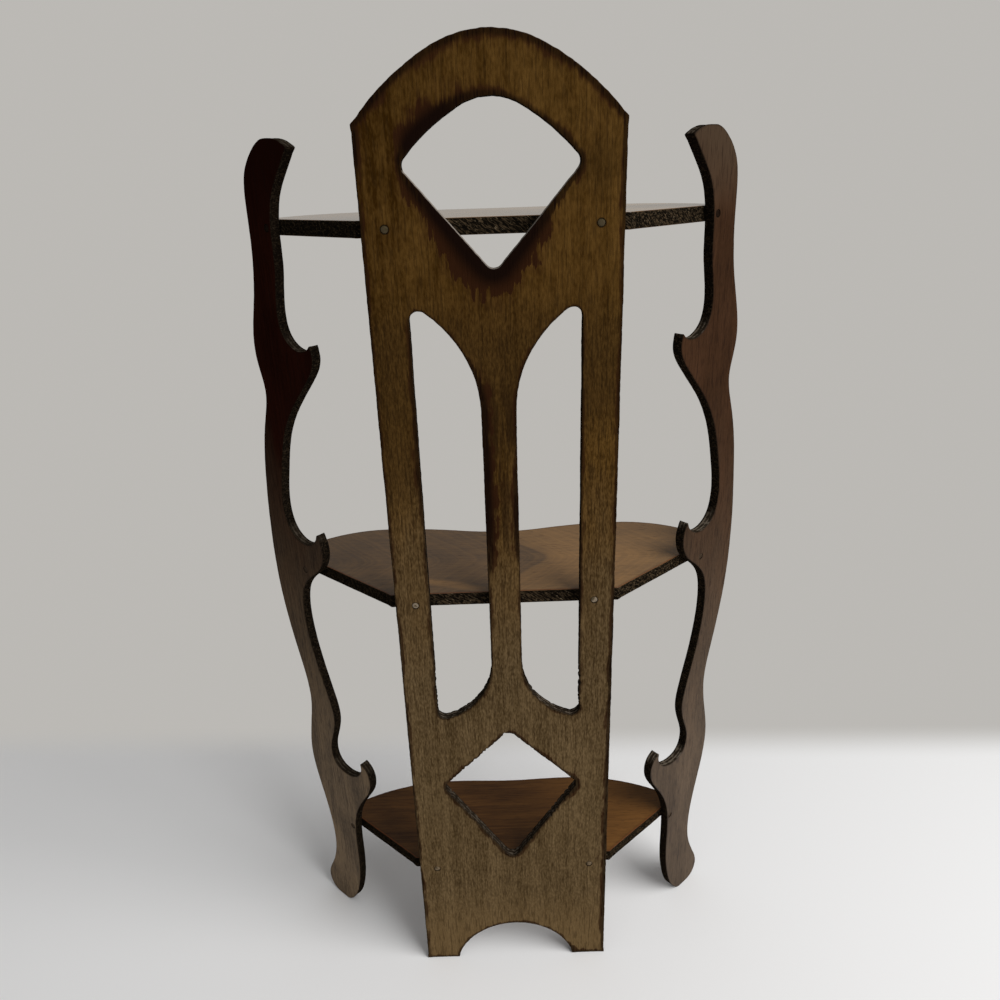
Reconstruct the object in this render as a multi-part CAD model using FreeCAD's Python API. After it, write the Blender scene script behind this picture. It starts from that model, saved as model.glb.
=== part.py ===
import FreeCAD
import Part
import math
import os

# A three-tier wall shelf: a pierced back panel, three bow-fronted shelves with angled back corners,
# and two scrolled side boards nailed flat on those angled edges.
# Millimetres, +Z up, the front faces -Y. "Depth" is measured forwards from the panel's rear face.

# Sheet thicknesses
panel_thickness = 4.8
shelf_thickness = 6.4
side_thickness = 4.8

# Heights
lowest_shelf_height = 64.8   # floor to the underside of the bottom shelf
shelf_spacing = 162.1        # one shelf's top face to the next one's
crest_rise = 61.6            # top shelf's top face to the crown of the back panel
side_rise = 30.6             # top shelf's top face to the top of the side boards

# Back panel
panel_width = 100.0
arch_rise = 29.0             # shoulders to the crown of the arched top
arch_crown_radius = 44.0     # the arch's rounder middle, between its flatter haunches
arch_crown_angle = 27.0      # turn of that middle on each side
foot_gap = 64.0              # between the panel's two feet
foot_arch_height = 25.0
rim_width = 16.2             # wood left between an opening and the panel's long edge
corner_radius = 3.4          # rounded corners of the sawn openings

# Upper opening, an arched diamond
crown_band = 21.5            # wood between this opening and the crown of the panel
upper_arc_rise = 21.6        # side corners to the top of the opening
upper_crown_radius = 23.0    # rounder middle and flatter haunches, as on the panel's own arch
upper_crown_angle = 30.0
upper_tip_drop = 13.8        # top shelf's underside to the opening's lower tip

# Long windows on either side of the central splat
splat_width = 15.0
window_top_drop = 25.0       # top shelf's underside to the windows' upper corners
top_flare = 44.0             # height over which the splat widens at its top
window_foot_drop = 61.1      # middle shelf's underside to the windows' lower corners
bottom_flare = 31.2          # height over which the splat widens at its foot

# Lower opening, a diamond
lower_band = 8.4             # windows' lower corners to this opening's upper tip
lower_tip_rise = 2.0         # bottom shelf's top face to this opening's lower tip
lower_corner_share = 0.6     # height of the side corners, as a share of the opening's own height

# Shelves
shelf_back_width = 104.5
back_corner_angle = 41.0     # angled back edges, from the wall
recess_share = 0.36          # half-width of the middle recess, as a share of the lobe's distance

# Each shelf's angled edge, the distance of its front lobes from the middle, their depth, the recess
# between them, and how far its side nails are from the front end of the angled edge
shelf_sizes = {
    "bottom_shelf": {"edge": 58.0, "lobe": 35.0, "depth": 62.0, "recess": 1.0, "nail_inset": 11.0},
    "middle_shelf": {"edge": 74.0, "lobe": 62.0, "depth": 77.6, "recess": 7.2, "nail_inset": 16.0},
    "top_shelf": {"edge": 57.0, "lobe": 52.0, "depth": 80.0, "recess": 1.8, "nail_inset": 6.0},
}

# Nails
nail_radius = 0.8
nail_head_radius = 1.55
nail_head_thickness = 0.9
nail_grip = 15.0             # length of shank in the shelf
nail_clearance = 0.03        # around the shank and the head
panel_nail_inset = 9.3       # from the panel's long edge

# Outline of a side board, as on a fretwork pattern. Each point is a reach and a tier. The reach counts
# pattern squares along the board, forwards from the front ends of the shelves' angled edges. Tier 0 is the
# floor, tiers 1 to 3 are the top faces of the shelves, and tier 4 is the board's own top.
pattern_square = 10.0
floor_tier = 0
board_top_tier = len(shelf_sizes) + 1
spans_per_edge = 3           # gaps between points that one edge of the outline covers
hook_to_upper_cusp = [
    (-2.6, 3.87), (-1.8, 3.56), (-1.2, 3.28), (-0.93, 2.98), (-1.02, 2.88), (-0.94, 2.757),
    (-1.25, 2.705), (-2.16, 2.672), (-3.02, 2.69),
]
upper_cusp_to_middle_cusp = [
    (-3.02, 2.69), (-3.21, 2.644), (-2.74, 2.59), (-1.52, 2.5), (-0.67, 2.4), (-0.28, 2.28),
    (-0.24, 2.156), (-0.74, 2.096), (-1.42, 2.074), (-2.7, 2.12),
]
middle_cusp_to_lower_cusp = [
    (-2.7, 2.12), (-3.11, 2.07), (-2.93, 2.012), (-2.02, 1.963), (-1.22, 1.917), (-0.65, 1.8),
    (-0.73, 1.68), (-1.24, 1.524), (-1.41, 1.432), (-1.03, 1.364), (-0.51, 1.28), (-0.68, 1.237),
    (-1.3, 1.22), (-2.98, 1.303),
]
lower_cusp_to_foot = [
    (-2.98, 1.303), (-3.5, 1.28), (-3.57, 1.242), (-2.73, 1.15), (-1.68, 1.05), (-1.3, 0.86),
    (-1.28, 0.6), (-0.9, 0.26), (-0.2, 0.065), (0.5, floor_tier),
]
foot_to_hook = [
    (1.1, floor_tier), (1.75, 0.03), (2.03, 0.11), (1.6, 0.3), (0.95, 0.55), (0.92, 0.8), (1.44, 1.1),
    (1.54, 1.236), (0.9, 1.377), (0.5, 1.48), (0.7, 1.62), (1.12, 1.83), (1.05, 2.015), (1.16, 2.24),
    (0.79, 2.44), (0.53, 2.536), (0.92, 2.61), (1.1, 2.67), (0.77, 2.806), (0.64, 2.935), (0.7, 3.21),
    (0.5, 3.59), (-0.14, 3.85), (-1.15, board_top_tier), (-2.6, 3.87),
]

# Derived levels and places
shelf_names = list(shelf_sizes)
undersides = {name: lowest_shelf_height + i * shelf_spacing for i, name in enumerate(shelf_names)}
tops = {name: underside + shelf_thickness for name, underside in undersides.items()}
panel_height = tops["top_shelf"] + crest_rise
side_height = tops["top_shelf"] + side_rise
shelf_corner = shelf_back_width / 2
window_edge = panel_width / 2 - rim_width
across = math.radians(back_corner_angle)
along_edge = FreeCAD.Vector(math.cos(across), -math.sin(across), 0)
outward = FreeCAD.Vector(math.sin(across), math.cos(across), 0)
edge_start = FreeCAD.Vector(shelf_corner, -panel_thickness, 0)
overall_depth = max(size["depth"] for size in shelf_sizes.values())


def point(x, depth, z):
    return FreeCAD.Vector(x, -depth, z)


def mirrored(shape):
    return shape.mirror(FreeCAD.Vector(0, 0, 0), FreeCAD.Vector(1, 0, 0))


def panel_point(x, z):
    return point(x, 0, z)


def through_panel(edges):
    """Solid of a closed outline on the panel's rear face, as deep as the panel."""
    outline = Part.Face(Part.Wire(Part.__sortEdges__(edges)))
    return outline.extrude(point(0, panel_thickness, 0))


def rounded(solid, corners):
    """Rounds the upright corners of a cut at the given places."""
    places = [panel_point(*corner) for corner in corners]
    edges = [edge for edge in solid.Edges
             if any(vertex.Point.isEqual(place, 0.01) for vertex in edge.Vertexes for place in places)
             and abs(edge.Vertexes[0].Y - edge.Vertexes[-1].Y) > panel_thickness / 2]
    return solid.makeFillet(corner_radius, edges)


def line(start, end):
    return Part.LineSegment(start, end).toShape()


def arc(start, middle, end):
    return Part.Arc(start, middle, end).toShape()


def arch_over(half_width, foot, rise):
    """Arc on the panel's face from one side to the other, rising to its middle."""
    return arc(panel_point(-half_width, foot), panel_point(0, foot + rise), panel_point(half_width, foot))


def haunched_arch(half_width, foot, rise, crown_radius, crown_angle):
    """Three arcs that meet without a kink: a round crown and a flatter haunch on each side."""
    turn = math.radians(crown_angle)
    join_x = crown_radius * math.sin(turn)
    join_z = foot + rise - crown_radius * (1 - math.cos(turn))
    run = half_width - join_x
    drop = join_z - foot
    bow = math.tan((math.atan2(drop, run) - turn) / 2) / 2
    middle = panel_point(join_x + run / 2 + bow * drop, foot + drop / 2 + bow * run)
    haunch = arc(panel_point(join_x, join_z), middle, panel_point(half_width, foot))
    crown = arc(panel_point(-join_x, join_z), panel_point(0, foot + rise), panel_point(join_x, join_z))
    return [haunch, crown, mirrored(haunch)]


def flare(start_z, end_z):
    """Arc that leaves the splat's straight edge and ends on the window's outer edge."""
    splat_edge = splat_width / 2
    run = window_edge - splat_edge
    rise = end_z - start_z
    radius = (run ** 2 + rise ** 2) / (2 * run)
    half_turn = math.asin(abs(rise) / radius) / 2
    middle_x = splat_edge + radius * (1 - math.cos(half_turn))
    middle_z = start_z + math.copysign(radius * math.sin(half_turn), rise)
    return arc(panel_point(splat_edge, start_z), panel_point(middle_x, middle_z), panel_point(window_edge, end_z))


def upper_opening():
    crown = panel_height - crown_band
    corner = crown - upper_arc_rise
    tip = undersides["top_shelf"] - upper_tip_drop
    edges = [
        *haunched_arch(window_edge, corner, upper_arc_rise, upper_crown_radius, upper_crown_angle),
        line(panel_point(window_edge, corner), panel_point(0, tip)),
        line(panel_point(0, tip), panel_point(-window_edge, corner)),
    ]
    return rounded(through_panel(edges), [(window_edge, corner), (0, tip), (-window_edge, corner)])


def window():
    top = undersides["top_shelf"] - window_top_drop
    foot = undersides["middle_shelf"] - window_foot_drop
    splat_top = top - top_flare
    splat_foot = foot + bottom_flare
    edges = [
        line(panel_point(window_edge, foot), panel_point(window_edge, top)),
        flare(splat_top, top),
        line(panel_point(splat_width / 2, splat_top), panel_point(splat_width / 2, splat_foot)),
        flare(splat_foot, foot),
    ]
    return rounded(through_panel(edges), [(window_edge, foot), (window_edge, top)])


def lower_opening():
    top = undersides["middle_shelf"] - window_foot_drop - lower_band
    tip = tops["bottom_shelf"] + lower_tip_rise
    corner = tip + lower_corner_share * (top - tip)
    corners = [(0, top), (window_edge, corner), (0, tip), (-window_edge, corner)]
    edges = [line(panel_point(*a), panel_point(*b)) for a, b in zip(corners, corners[1:] + corners[:1])]
    return rounded(through_panel(edges), corners)


def back_panel():
    half = panel_width / 2
    foot = foot_gap / 2
    shoulder = panel_height - arch_rise
    edges = [
        *haunched_arch(half, shoulder, arch_rise, arch_crown_radius, arch_crown_angle),
        line(panel_point(half, shoulder), panel_point(half, 0)),
        line(panel_point(half, 0), panel_point(foot, 0)),
        arch_over(foot, 0, foot_arch_height),
        line(panel_point(-foot, 0), panel_point(-half, 0)),
        line(panel_point(-half, 0), panel_point(-half, shoulder)),
    ]
    right_window = window()
    return through_panel(edges).cut([upper_opening(), right_window, mirrored(right_window), lower_opening()])


def shelf_outline(edge, lobe, depth, recess, **others):
    """Plan of a shelf: straight back, angled back corners, and a front of two lobes with a recess between."""
    corner_x = shelf_corner + edge * math.cos(across)
    corner_depth = panel_thickness + edge * math.sin(across)
    turn = 2 * math.atan2(recess, lobe)
    recess_half = recess_share * lobe
    middle_depth = depth - recess
    swing_depth = middle_depth + recess_half * math.tan(turn / 2)

    def bulge(x, start_x, start_depth, tangent_x, tangent_depth):
        """Depth at x on the arc that is level at its tangent point and passes its start."""
        run = start_x - tangent_x
        drop = tangent_depth - start_depth
        radius = (run ** 2 + drop ** 2) / (2 * drop)
        return tangent_depth - radius + math.sqrt(radius ** 2 - (x - tangent_x) ** 2)

    def front(side):
        outer_x = (lobe + corner_x) / 2
        inner_x = (lobe + recess_half) / 2
        outer_depth = bulge(outer_x, corner_x, corner_depth, lobe, depth)
        inner_depth = bulge(inner_x, recess_half, swing_depth, lobe, depth)
        return [
            arc(point(side * corner_x, corner_depth, 0), point(side * outer_x, outer_depth, 0),
                point(side * lobe, depth, 0)),
            arc(point(side * lobe, depth, 0), point(side * inner_x, inner_depth, 0),
                point(side * recess_half, swing_depth, 0)),
        ]

    back_right = point(shelf_corner, panel_thickness, 0)
    back_left = point(-shelf_corner, panel_thickness, 0)
    edges = front(1) + front(-1) + [
        arc(point(recess_half, swing_depth, 0), point(0, middle_depth, 0), point(-recess_half, swing_depth, 0)),
        line(back_left, back_right),
        line(back_right, point(corner_x, corner_depth, 0)),
        line(back_left, point(-corner_x, corner_depth, 0)),
    ]
    return Part.Face(Part.Wire(Part.__sortEdges__(edges)))


def shelf(name):
    board = shelf_outline(**shelf_sizes[name]).extrude(FreeCAD.Vector(0, 0, shelf_thickness))
    return board.translated(FreeCAD.Vector(0, 0, undersides[name]))


def between(values, tier):
    """Value at a tier, in straight lines between the whole tiers."""
    lower = min(int(tier), len(values) - 2)
    return values[lower] + (tier - lower) * (values[lower + 1] - values[lower])


def side_point(reach, tier):
    """Place on the right side board's inner face."""
    heights = [0] + [tops[name] for name in shelf_names] + [side_height]
    ends = [shelf_sizes[name]["edge"] for name in shelf_names]
    edge_end = between([ends[0]] + ends + [ends[-1]], tier)
    along = edge_end + reach * pattern_square
    return edge_start + along_edge * along + FreeCAD.Vector(0, 0, between(heights, tier))


def side_edges(points):
    """Smooth curve through a stretch of the outline, level where it meets the floor or the board's top.

    It is cut into short edges, because the volume inside one long curve is measured less exactly.
    """
    level_at = {floor_tier: along_edge, board_top_tier: along_edge * -1}
    curve = Part.BSplineCurve()
    curve.interpolate(
        Points=[side_point(*place) for place in points],
        Tangents=[level_at.get(tier, along_edge) for reach, tier in points],
        TangentFlags=[tier in level_at for reach, tier in points],
        Scale=False,
    )
    cuts = curve.getKnots()[:-1:spans_per_edge] + [curve.LastParameter]
    return [curve.toShape(start, end) for start, end in zip(cuts, cuts[1:])]


def right_side():
    edges = []
    for stretch in (hook_to_upper_cusp, upper_cusp_to_middle_cusp, middle_cusp_to_lower_cusp, lower_cusp_to_foot):
        edges += side_edges(stretch)
    edges.append(line(side_point(*lower_cusp_to_foot[-1]), side_point(*foot_to_hook[0])))
    edges += side_edges(foot_to_hook)
    return Part.Face(Part.Wire(edges)).extrude(outward * side_thickness)


def nail(head_face, inwards, board_thickness, clearance):
    """A flat-headed nail, its head flush with head_face, or with a clearance the hole that it fills."""
    head = Part.makeCylinder(nail_head_radius + clearance, nail_head_thickness, head_face, inwards)
    length = board_thickness + nail_grip
    shank = Part.makeCylinder(nail_radius + clearance, length, head_face, inwards)
    return head.fuse(shank).removeSplitter()


def panel_nails(clearance):
    places = []
    for name in shelf_names:
        middle = undersides[name] + shelf_thickness / 2
        for side in (-1, 1):
            places.append(panel_point(side * (panel_width / 2 - panel_nail_inset), middle))
    return [nail(place, point(0, 1, 0), panel_thickness, clearance) for place in places]


def side_nails(clearance):
    nails = []
    for name in shelf_names:
        along = shelf_sizes[name]["edge"] - shelf_sizes[name]["nail_inset"]
        height = FreeCAD.Vector(0, 0, undersides[name] + shelf_thickness / 2)
        head_face = edge_start + along_edge * along + outward * side_thickness + height
        right_nail = nail(head_face, outward * -1, side_thickness, clearance)
        nails += [right_nail, mirrored(right_nail)]
    return nails


panel_holes = panel_nails(nail_clearance)
side_holes = side_nails(nail_clearance)
nodes = {"back_panel": back_panel().cut(panel_holes)}
for shelf_name in shelf_names:
    nodes[shelf_name] = shelf(shelf_name).cut(panel_holes + side_holes)
nodes["right_side"] = right_side().cut(side_holes)
nodes["left_side"] = mirrored(right_side()).cut(side_holes)
nodes["panel_nails"] = Part.makeCompound(panel_nails(0))
nodes["side_nails"] = Part.makeCompound(side_nails(0))

# The origin is under the middle of the whole shelf, on the floor.
os.makedirs("parts", exist_ok=True)
for node_name, shape in nodes.items():
    placed = shape.translated(FreeCAD.Vector(0, overall_depth / 2, 0))
    placed.exportStep("parts/" + node_name + ".step")
    box = placed.BoundBox
    print("%-13s %d solid(s), %.1f x %.1f x %.1f mm, valid %s"
          % (node_name, len(placed.Solids), box.XLength, box.YLength, box.ZLength, placed.isValid()))
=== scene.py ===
# %% [markdown]
# # A fretwork wall shelf, seen from behind
# The real thing is a small three-tier wall shelf, sawn by hand from thin stained plywood and nailed
# together. The photo shows its wall side. This lesson takes the boards' outlines from the CAD model and
# gives them what a saw, a stain brush and some decades add: wavering cuts, worn arrises, torn fibres,
# bleeding stain and nail heads.

# %% Load the CAD frame
import math
from collections import namedtuple
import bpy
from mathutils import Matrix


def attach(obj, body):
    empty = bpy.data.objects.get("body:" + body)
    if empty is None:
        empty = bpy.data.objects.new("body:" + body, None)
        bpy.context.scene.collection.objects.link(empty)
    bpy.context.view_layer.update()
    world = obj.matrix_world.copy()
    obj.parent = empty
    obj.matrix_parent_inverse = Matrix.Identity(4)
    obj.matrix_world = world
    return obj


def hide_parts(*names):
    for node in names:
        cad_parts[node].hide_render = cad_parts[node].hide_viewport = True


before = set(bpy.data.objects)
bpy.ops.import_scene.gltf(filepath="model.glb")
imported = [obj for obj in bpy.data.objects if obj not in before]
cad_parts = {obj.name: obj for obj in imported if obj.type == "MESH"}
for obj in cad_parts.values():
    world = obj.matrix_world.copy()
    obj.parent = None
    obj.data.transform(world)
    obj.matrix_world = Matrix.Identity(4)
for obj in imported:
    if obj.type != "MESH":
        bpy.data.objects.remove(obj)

from types import SimpleNamespace

import bpy
import numpy as np
from mathutils import Matrix, Vector, kdtree, noise
from mathutils.geometry import delaunay_2d_cdt

scene = bpy.context.scene
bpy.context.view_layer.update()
print("CAD nodes:", sorted(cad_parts))

# %% [markdown]
# ## Reading a board's outline
# A board is a flat sheet, so its shape is one flat face and a thickness. The outline could be typed in
# again, but then it might drift away from the CAD. Here the triangles of the node's flat face are read,
# and each triangle side that no second triangle shares belongs to the outline. Places in the face are in
# millimetres, along two axes of its own.

# %% Axes of a board and the outlines of its flat face
METRE = 1000.0  # mm
LYING_FLAT = 0.9  # a board whose face points up more than this is a shelf
SAME_PLANE = 0.01  # mm that a corner of the flat face may lie under it
DECIMALS = 3  # of a place in mm, so that shared corners compare as equal


def board_axes(outward):
    """The direction across a board, the one up it, and the one out of its face."""
    out = Vector(outward).normalized()
    if abs(out.z) > LYING_FLAT:
        return Vector((1, 0, 0)), Vector((0, 1, 0)), out
    up = Vector((0, 0, 1))
    return up.cross(out), up, out


def flat_outlines(node, axes):
    """Loops round a node's outermost flat face in mm, wood on their left, its reach and the thickness."""
    across, up, out = axes
    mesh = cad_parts[node].data
    depth = [v.co.dot(out) * METRE for v in mesh.vertices]
    flat = [tuple(round(v.co.dot(axis) * METRE, DECIMALS) for axis in (across, up)) for v in mesh.vertices]
    reach = max(depth)
    sides = set()
    for face in mesh.polygons:
        if all(reach - depth[i] < SAME_PLANE for i in face.vertices):
            corners = [flat[i] for i in face.vertices]
            sides.update(zip(corners, corners[1:] + corners[:1]))
    onward = {a: b for a, b in sides if (b, a) not in sides}
    loops = []
    for start in sorted(onward):
        if start in onward:
            loop = [start]
            while (following := onward.pop(loop[-1])) != start:
                loop.append(following)
            loops.append(np.array(loop))
    return loops, reach, reach - min(depth)


for loop in flat_outlines("back_panel", board_axes((0, 1, 0)))[0]:
    print("panel loop of", len(loop), "points round", loop.mean(0).round(1))

# %% [markdown]
# ## A cut made by hand
# A fret saw never follows the pencil line exactly. The outline is walked at even steps, its sharp
# corners are kept, and each point moves a little into the wood by smooth noise, so the cut wavers but
# never leaves the CAD's box. The noise depends only on the place, so each run gives the same cut.

# %% Walking an outline and moving it into the wood
SHARP_TURN = 35  # degrees
CALM_FROM_CORNER = 3.0  # mm
LEAST_FREEDOM = 0.35
LEAST_SQUARE = 0.35  # keeps the step at a folded corner from growing without end
LONGEST_STEP = 1.7  # mm for each mm into the wood


def sharp_corners(loop):
    """The numbers of the points where a loop turns sharply."""
    ahead = np.roll(loop, -1, 0) - loop
    heading = np.degrees(np.arctan2(ahead[:, 1], ahead[:, 0]))
    turn = (heading - np.roll(heading, 1) + 180) % 360 - 180
    return np.flatnonzero(abs(turn) > SHARP_TURN)


def freedom(loop):
    """How freely a cut may wander: 1 on an open run, less near a sharp corner."""
    corners = loop[sharp_corners(loop)]
    if not len(corners):
        return np.ones(len(loop))
    apart = np.linalg.norm(loop[:, None] - corners[None], axis=2).min(1)
    return np.clip(apart / CALM_FROM_CORNER, LEAST_FREEDOM, 1)


def spaced(loop, step):
    """Points at even steps round a loop, with its sharp corners kept."""
    corners = sharp_corners(loop)
    first = corners[0] if len(corners) else 0
    ends = [c - first for c in corners] or [0]
    closed = np.vstack([np.roll(loop, -first, 0), loop[first]])
    points = []
    for a, b in zip(ends, ends[1:] + [len(loop)]):
        run = closed[a:b + 1]
        walked = np.append(0, np.cumsum(np.linalg.norm(np.diff(run, axis=0), axis=1)))
        at = np.linspace(0, walked[-1], max(1, round(walked[-1] / step)), endpoint=False)
        points.append(np.column_stack([np.interp(at, walked, run[:, k]) for k in (0, 1)]))
    return np.vstack(points)


def into_wood(points):
    """For each point of a loop, the step that moves its two sides 1 mm into the wood."""
    ahead = np.roll(points, -1, 0) - points
    ahead /= np.linalg.norm(ahead, axis=1, keepdims=True)
    left = np.column_stack([-ahead[:, 1], ahead[:, 0]])
    before = np.roll(left, 1, 0)
    square = 1 + (left * before).sum(1, keepdims=True)
    step = (left + before) / np.maximum(square, LEAST_SQUARE)
    length = np.linalg.norm(step, axis=1, keepdims=True)
    return step * np.minimum(1, LONGEST_STEP / np.maximum(length, 1e-6))


def ripple(points, span, seed):
    """Smooth noise between 0 and 1 along the points, with waves about span mm long."""
    return np.array([0.5 + 0.5 * noise.noise(Vector((x / span, y / span, seed))) for x, y in points])


SQUARE = np.array([[0, 0], [1, 0], [1, 1], [0, 1.0]])
print("a 10 mm square in 2 mm steps has", len(spaced(10 * SQUARE, 2)), "points")

# %% [markdown]
# ## Filling a flat face
# Each face is filled with triangles by a constrained Delaunay triangulation. Rows of points near the
# cut and a plain grid beyond them can each carry a number for their distance from the cut. The stain
# needs it: on the real shelf it crept in from the sawn edges. A boolean or a filled curve would give
# long thin triangles that can't hold it.

# %% Points inside loops
GRID = 4.0  # mm
ROWS_IN = (1.2, 2.8)  # mm from the cut
GRID_CLEAR, ROW_CLEAR = 0.95, 0.9


def inside(points, loops):
    """Which points lie in the wood, by counting the outlines that a line from each one crosses."""
    found = np.zeros(len(points), bool)
    x, y = points.T
    for loop in loops:
        for a, b in zip(loop, np.roll(loop, -1, 0)):
            if a[1] != b[1]:
                crossed = (y < a[1]) != (y < b[1])
                found ^= crossed & (x < a[0] + (y - a[1]) * (b[0] - a[0]) / (b[1] - a[1]))
    return found


def inner_points(loops, spacing):
    """Places for a face's inner points, each with the least distance that it keeps from the cuts."""
    edge = np.vstack(loops)
    low, high = edge.min(0), edge.max(0)
    columns, rows = (np.arange(low[k], high[k], GRID) for k in (0, 1))
    grid = np.stack(np.meshgrid(columns, rows), -1).reshape(-1, 2)
    grid[:, 0] += GRID / 2 * (np.round((grid[:, 1] - low[1]) / GRID) % 2)
    tries = [(p, GRID * GRID_CLEAR) for p in grid]
    for row in ROWS_IN:
        every = max(1, round(row / spacing))
        for loop in loops:
            tries += [(p, row * ROW_CLEAR) for p in (loop + row * into_wood(loop))[::every]]
    return tries


trial = spaced(30 * SQUARE, 1)
print("a 30 mm square has places for", len(inner_points([trial], 1)), "inner points")


# %% Triangles of a face
SAME_SPOT = 1e-5  # mm


def nearest_to(points):
    """A search tree that finds the nearest of the points."""
    tree = kdtree.KDTree(len(points))
    for i, (x, y) in enumerate(points):
        tree.insert((x, y, 0), i)
    tree.balance()
    return tree


def fill(loops, spacing):
    """A face's inner points, their distance from the cuts, the cut point nearest to each, and triangles."""
    edge = np.vstack(loops)
    tree = nearest_to(edge)
    tries = inner_points(loops, spacing)
    wood = inside(np.array([p for p, least in tries]), loops)
    inner, gap, close = [], [], []
    for (p, least), ok in zip(tries, wood):
        _, index, distance = tree.find((*p, 0))
        if ok and distance > least:
            inner.append(p)
            gap.append(distance)
            close.append(index)
    points = [Vector(p) for p in np.vstack([edge, inner])]
    rims, start = [], 0
    for loop in loops:
        count = len(loop)
        rims += [(start + i, start + (i + 1) % count) for i in range(count)]
        start += count
    _, _, faces, origins, _, _ = delaunay_2d_cdt(points, rims, [], 0, SAME_SPOT)
    source = [ids[0] if ids else None for ids in origins]
    corners = ([source[i] for i in face] for face in faces)
    triangles = np.array([c for c in corners if None not in c])
    middle = np.array(points)[triangles].mean(1)
    return np.array(inner), np.array(gap), close, triangles[inside(middle, loops)]


print("and fills with", len(fill([trial], 1)[3]), "triangles")

# %% [markdown]
# ## Collecting a board's mesh
# Each vertex of a board keeps four numbers for the finishes: its distance from the cut, how far the
# stain bled there, how much dust and painted sheen lie on it where a cut faces up, and whether it is on
# the wall side or the room side. They become attributes, which a shader can read. BMesh could hold all
# this, but plain lists are shorter.

# %% A collector of vertices and faces
FINISH_NUMBERS = ("from_cut", "bled", "dust", "room")


def linked(name, data):
    """A new object in the scene."""
    made = bpy.data.objects.new(name, data)
    scene.collection.objects.link(made)
    return made


def mesh_object(name, places, faces, finish):
    """A new object with a mesh and one finish."""
    mesh = bpy.data.meshes.new(name)
    mesh.from_pydata(places, [], faces)
    mesh.materials.append(finish)
    return linked(name, mesh)


class Mesher:
    """Collects vertices with their four finish numbers, and faces."""

    def __init__(self, axes, reach):
        self.axes, self.reach = axes, reach
        self.places, self.marks, self.faces, self.rounded = [], [], [], []

    def place(self, x, y, down):
        """The place in metres of a point that lies down mm below the face."""
        across, up, out = self.axes
        return (across * x + up * y + out * (self.reach - down)) / METRE

    def flat(self, row):
        """The vertices of a row, as points in the board's face in mm."""
        return np.array([[self.places[i].dot(axis) * METRE for axis in self.axes[:2]] for i in row])

    def add(self, points, depth, from_cut, bled, dust, room):
        """Adds points that lie depth mm below the face and returns their numbers."""
        start = len(self.places)
        columns = (np.broadcast_to(v, len(points)) for v in (depth, from_cut, bled, dust, room))
        for (x, y), down, *marks in zip(points, *columns):
            self.places.append(self.place(x, y, down))
            self.marks.append(marks)
        return np.arange(start, len(self.places))

    def face(self, corners, rounded):
        """Adds one face, shaded smooth if it is part of a round."""
        self.faces.append([int(c) for c in corners])
        self.rounded.append(rounded)

    def bands(self, rows):
        """Adds strips of faces between rows that go once round."""
        for upper, lower in zip(rows, rows[1:]):
            for a, b, c, d in zip(upper, np.roll(upper, -1), np.roll(lower, -1), lower):
                self.face((a, d, c, b), True)

    def piece(self, name, finish):
        """Makes the object, with the four numbers as attributes."""
        made = mesh_object(name, self.places, self.faces, finish)
        mesh = made.data
        mesh.polygons.foreach_set("use_smooth", self.rounded)
        for k, label in enumerate(FINISH_NUMBERS):
            layer = mesh.attributes.new(label, "FLOAT", "POINT")
            layer.data.foreach_set("value", [float(m[k]) for m in self.marks])
        mesh.update()
        return made


print("each vertex carries", ", ".join(FINISH_NUMBERS))

# %% [markdown]
# ## The rim of a cut
# Rows of vertices run down each cut. The first and last rows round off the arris, as handling does,
# and the middle rows waver where the saw chattered. A bevel modifier would give every arris the same
# neat round, but these rows may tear further at one cut than at another.

# %% A cut as the saw left it, and its rows
DRIFT_WAVE, TOOTH_WAVE, CHATTER_WAVE = 17, 2.6, 1.5  # mm
TOOTH_SEED, CHATTER_SEED = 9, 50
TEAR_IN, TEAR_DOWN = 0.7, 0.5  # shares of a tear that move the cut and its arris
ARRIS_STEPS = (0, 30, 60, 90)  # degrees round an arris
STILL_FACE = 30  # degrees, up to which an arris looks like the face
ARRIS_ROOM = 0.1  # how far through the board an arris counts as
CHATTER_ROWS = (0.36, 0.64)  # shares of the thickness
CHATTER_GAIN = 1.4

Cut = namedtuple("Cut", "line step loose torn bled dust")


def hand_cut(loop, number, upright, spacing, waver, chatter, steady, bleed, tear):
    """One outline as the saw left it, with its bled stain, tears, and the dust and painted sheen where it
    faces up.
    """
    line, middle = spaced(loop, spacing), loop.mean(0)
    step, loose = into_wood(line), freedom(line)
    wander = waver * ripple(line, DRIFT_WAVE, number)
    wander += chatter * ripple(line, TOOTH_WAVE, TOOTH_SEED + number)
    if steady:
        wander *= steady(line)
    torn = tear(line, middle) if tear else np.zeros(len(line))
    bled = bleed(line, middle) if bleed else np.ones(len(line))
    # The share of a cut that faces up: there pale dust settles and a painted sheen stands for caught light.
    dust = np.clip(-step[:, 1], 0, 1) * upright
    return Cut(line + step * (loose * wander + TEAR_IN * torn)[:, None], step, loose, torn, bled, dust)


def arris_row(board, cut, wear_and_sheen, angle, face, way):
    """Adds one row of an arris rounded off by wear; its third argument is how far, in mm. face is the depth
    of its face, and way is 1 on the wall side, else -1.
    """
    turn = math.radians(angle)
    inset, down = wear_and_sheen * (1 - math.sin(turn)), wear_and_sheen * (1 - math.cos(turn))
    is_cut = angle > STILL_FACE
    return board.add(cut.line + cut.step * inset[:, None], face + way * down, inset - down,
                     cut.bled, cut.dust * is_cut, (way < 0) + way * ARRIS_ROOM * is_cut)


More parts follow.
